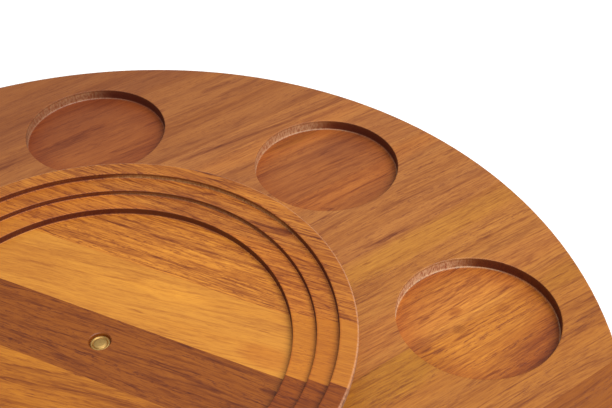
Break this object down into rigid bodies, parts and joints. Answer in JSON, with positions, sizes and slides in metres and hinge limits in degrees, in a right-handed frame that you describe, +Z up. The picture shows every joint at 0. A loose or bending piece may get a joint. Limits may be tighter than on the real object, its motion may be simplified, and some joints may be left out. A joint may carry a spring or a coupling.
{
  "type": "revolving serving tray",
  "caption": "Round two-tier turntable tray in teak with a ring of shallow round recesses and a raised dished platter that turns on a brass pivot.",
  "frame": {"origin": "on the floor under the centre of the tray, midway between the feet", "axes": "+Z up along the spinning axis; +X through the centre of one round recess"},
  "size_m": [0.46, 0.46, 0.0695],
  "materials": {
    "teak_golden": "oiled satin",
    "teak_tan": "oiled satin",
    "teak_brown": "oiled satin",
    "teak_red": "oiled satin",
    "teak_dark": "oiled satin",
    "brass": "satin, lightly tarnished",
    "zinc_steel": "zinc plated",
    "ball_steel": "polished",
    "white_nylon": "matt",
    "black_rubber": "matt"
  },
  "bodies": {
    "base": {"base_disc": "teak_brown", "foot_bumpers": "black_rubber", "foot_screws": "zinc_steel", "swivel_lower_plate": "zinc_steel", "swivel_lower_screws": "zinc_steel"},
    "cage": {"bearing_cage": "white_nylon", "bearing_balls": "ball_steel"},
    "tray": {"tray_stave_1": "teak_golden", "tray_stave_2": "teak_red", "tray_stave_3": "teak_brown", "tray_stave_4": "teak_brown", "tray_stave_5": "teak_golden", "tray_stave_6": "teak_tan", "tray_stave_7": "teak_brown", "tray_stave_8": "teak_red", "swivel_upper_plate": "zinc_steel", "swivel_upper_screws": "zinc_steel", "pivot_pin": "brass", "pin_washer": "zinc_steel", "pin_nut": "zinc_steel", "thrust_washer": "brass"},
    "platter": {"platter_stave_1": "teak_tan", "platter_stave_2": "teak_tan", "platter_stave_3": "teak_golden", "platter_stave_4": "teak_dark", "platter_stave_5": "teak_golden", "platter_stave_6": "teak_tan", "platter_stave_7": "teak_brown", "platter_bushing": "brass"}
  },
  "joints": [
    {"name": "tray_spin", "type": "hinge", "parent": "base", "child": "tray", "pos_m": [0, 0, 0.0237], "axis": [0, 0, 1], "continuous": true},
    {"name": "cage_spin", "type": "hinge", "parent": "base", "child": "cage", "pos_m": [0, 0, 0.0237], "axis": [0, 0, 1], "continuous": true},
    {"name": "platter_spin", "type": "hinge", "parent": "tray", "child": "platter", "pos_m": [0, 0, 0.0604], "axis": [0, 0, 1], "continuous": true}
  ],
  "couplings": [
    {"joint": "cage_spin", "follows": "tray_spin", "ratio": 0.5}
  ]
}
